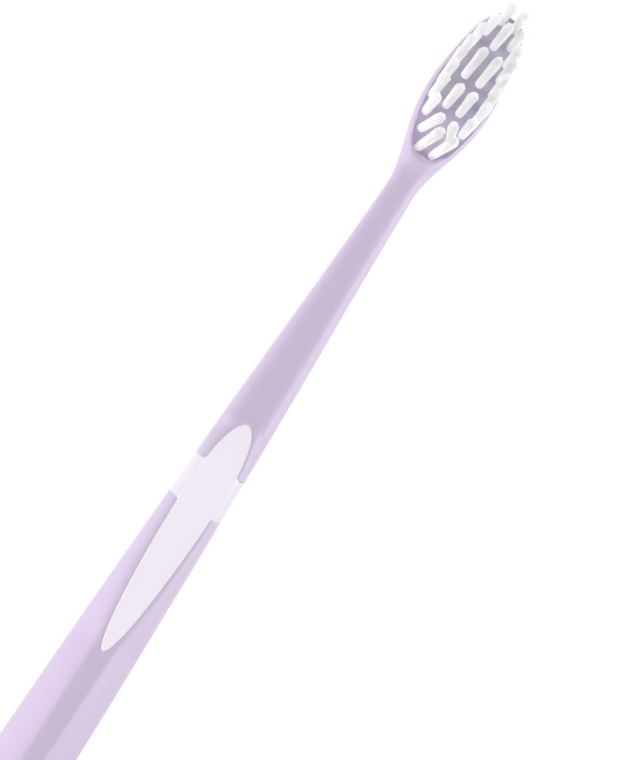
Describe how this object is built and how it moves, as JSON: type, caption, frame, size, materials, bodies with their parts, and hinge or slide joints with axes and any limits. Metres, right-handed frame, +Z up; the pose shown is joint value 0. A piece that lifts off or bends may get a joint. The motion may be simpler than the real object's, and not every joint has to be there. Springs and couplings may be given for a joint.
{
  "type": "manual toothbrush",
  "caption": "Manual toothbrush with a pointed oval head, pale upright bristles, a slim neck and a flat-faced lilac handle with an almond shaped pearl inlay.",
  "frame": {"origin": "on the surface that the brush lies on, under the middle of its box", "axes": "+X along the brush to the tip of the head, +Z up, the way the bristles point"},
  "size_m": [0.1878, 0.0128, 0.0171],
  "materials": {
    "lilac_shell": "satin moulded lilac",
    "pearl_core": "satin pearl white",
    "bristle_nylon": "pale translucent nylon",
    "anchor_metal": "plain stamped"
  },
  "bodies": {
    "root": {"head_and_neck": "lilac_shell", "handle": "lilac_shell", "core": "pearl_core", "tuft_anchors": "anchor_metal", "tuft_01": "bristle_nylon", "tuft_02": "bristle_nylon", "tuft_03": "bristle_nylon", "tuft_04": "bristle_nylon", "tuft_05": "bristle_nylon", "tuft_06": "bristle_nylon", "tuft_07": "bristle_nylon", "tuft_08": "bristle_nylon", "tuft_09": "bristle_nylon", "tuft_10": "bristle_nylon", "tuft_11": "bristle_nylon", "tuft_12": "bristle_nylon", "tuft_13": "bristle_nylon", "tuft_14": "bristle_nylon", "tuft_15": "bristle_nylon", "tuft_16": "bristle_nylon", "tuft_17": "bristle_nylon", "tuft_18": "bristle_nylon", "tuft_19": "bristle_nylon", "tuft_20": "bristle_nylon", "tuft_21": "bristle_nylon", "tuft_22": "bristle_nylon", "tuft_23": "bristle_nylon", "tuft_24": "bristle_nylon", "tuft_25": "bristle_nylon"}
  },
  "joints": []
}
